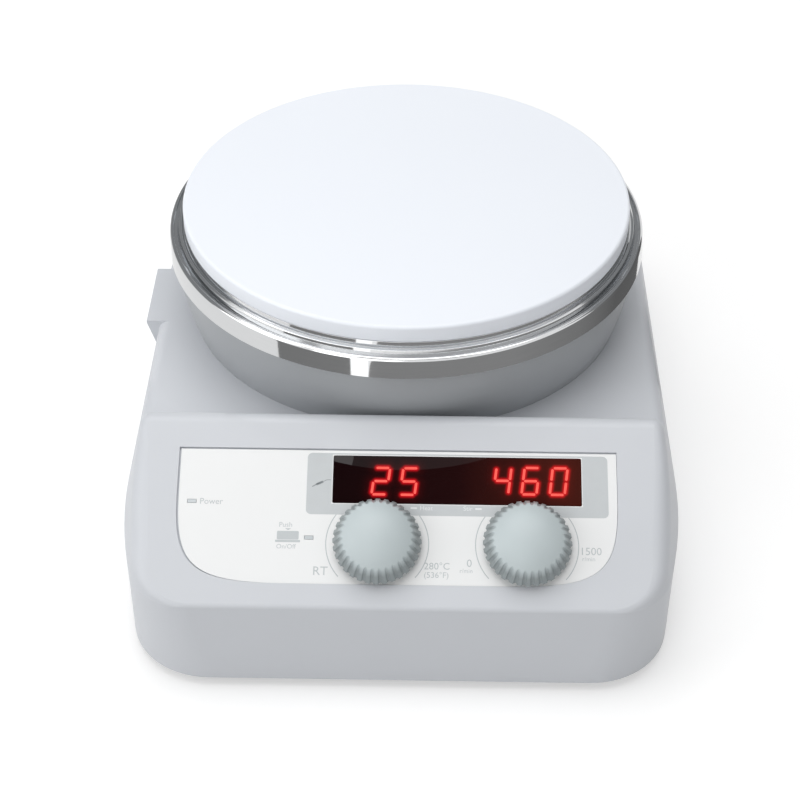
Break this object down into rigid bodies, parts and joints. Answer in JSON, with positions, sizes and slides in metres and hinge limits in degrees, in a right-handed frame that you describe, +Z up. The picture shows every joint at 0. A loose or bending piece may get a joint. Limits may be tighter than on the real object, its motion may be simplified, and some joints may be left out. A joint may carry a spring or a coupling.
{
  "type": "hotplate magnetic stirrer",
  "caption": "Bench hotplate stirrer: a round heated plate on a sloping-fronted moulded housing, with a digital display, push-and-turn knobs and a magnet drive under the plate.",
  "frame": {"origin": "centre of the housing's footprint, on the surface it stands on", "axes": "+Z up, +Y to the back, +X to the right seen from the fascia"},
  "size_m": [0.15, 0.2072, 0.08],
  "materials": {
    "housing_plastic": "moulded ABS, fine texture",
    "base_paint": "powder coated steel sheet",
    "foot_rubber": "moulded",
    "zinc_screw": "zinc plated",
    "printed_sheet": "printed polyester sheet",
    "dark_window": "dark red acrylic filter",
    "digit_resin": "moulded, with red segments",
    "lamp_resin": "clear moulded",
    "circuit_board": "glass laminate with solder resist",
    "black_moulding": "moulded",
    "brass_part": "turned",
    "shaft_steel": "ground",
    "knob_plastic": "moulded, satin",
    "collar_plastic": "moulded heat resistant plastic, satin",
    "polished_steel": "pressed and polished stainless steel",
    "white_plate": "white ceramic coating on a metal plate",
    "ceramic_part": "fired steatite",
    "heater_mica": "resistance wire cast in cement",
    "fibre_board": "pressed ceramic fibre",
    "sheet_steel": "pressed sheet",
    "iron_core": "laminated iron",
    "motor_paint": "painted steel",
    "magnet_nickel": "nickel plated magnet",
    "carrier_plastic": "glass filled nylon",
    "capacitor_sleeve": "shrink sleeve",
    "fuse_glass": "glass tube with nickel caps",
    "tinned_blade": "tin plated brass"
  },
  "bodies": {
    "housing": {"upper_housing": "housing_plastic", "base_plate": "base_paint", "base_screws": "zinc_screw", "rubber_feet": "foot_rubber", "fascia_sheet": "printed_sheet", "display_window": "dark_window", "temperature_digits": "digit_resin", "speed_digits": "digit_resin", "lamp_pipes": "lamp_resin", "control_board": "circuit_board", "board_screws": "zinc_screw", "encoder_nuts": "brass_part", "collar": "collar_plastic", "collar_screws": "zinc_screw", "steel_rim": "polished_steel", "work_plate": "white_plate", "heating_element": "heater_mica", "insulation_disc": "fibre_board", "heat_shield": "sheet_steel", "plate_posts": "sheet_steel", "ceramic_spacers": "ceramic_part", "plate_screws": "zinc_screw", "plate_sensor": "sheet_steel", "thermal_cutout": "ceramic_part", "motor_bracket": "sheet_steel", "bracket_screws": "zinc_screw", "motor_can": "motor_paint", "motor_bearings": "shaft_steel", "stator": "iron_core", "power_board": "circuit_board", "board_pillars": "black_moulding", "transformer": "iron_core", "relay": "black_moulding", "capacitors": "capacitor_sleeve", "board_fuse": "fuse_glass", "mains_inlet": "black_moulding", "inlet_pins": "tinned_blade", "switch_frame": "black_moulding", "sensor_socket": "black_moulding", "socket_pins": "brass_part", "rod_insert": "shaft_steel", "temperature_encoder": "black_moulding", "speed_encoder": "black_moulding"},
    "stir_rotor": {"motor_shaft": "shaft_steel", "rotor_core": "iron_core", "magnet_carrier": "carrier_plastic", "drive_magnets": "magnet_nickel"},
    "temperature_wheel": {"temperature_code_wheel": "brass_part"},
    "temperature_dial": {"temperature_shaft": "shaft_steel", "temperature_knob": "knob_plastic"},
    "speed_wheel": {"speed_code_wheel": "brass_part"},
    "speed_dial": {"speed_shaft": "shaft_steel", "speed_knob": "knob_plastic"},
    "switch_rocker": {"power_rocker": "black_moulding"}
  },
  "joints": [
    {"name": "stir_spin", "type": "hinge", "parent": "housing", "child": "stir_rotor", "pos_m": [0, 0.0121, 0.04], "axis": [0, 0, 1], "continuous": true},
    {"name": "temperature_turn", "type": "hinge", "parent": "housing", "child": "temperature_wheel", "pos_m": [-0.0058, -0.08751, 0.03804], "axis": [0, -0.4909, 0.8712], "continuous": true},
    {"name": "temperature_press", "type": "slide", "parent": "temperature_wheel", "child": "temperature_dial", "axis": [0, 0.4909, -0.8712], "range_m": [0, 0.0008], "stiffness_N_per_m": 1500, "springref_m": -0.0006},
    {"name": "speed_turn", "type": "hinge", "parent": "housing", "child": "speed_wheel", "pos_m": [0.0326, -0.08751, 0.03804], "axis": [0, -0.4909, 0.8712], "continuous": true},
    {"name": "speed_press", "type": "slide", "parent": "speed_wheel", "child": "speed_dial", "axis": [0, 0.4909, -0.8712], "range_m": [0, 0.0008], "stiffness_N_per_m": 1500, "springref_m": -0.0006},
    {"name": "power_switch", "type": "hinge", "parent": "housing", "child": "switch_rocker", "pos_m": [-0.0065, 0.0981, 0.017], "axis": [0, 0, 1], "range_deg": [0, 12]}
  ]
}
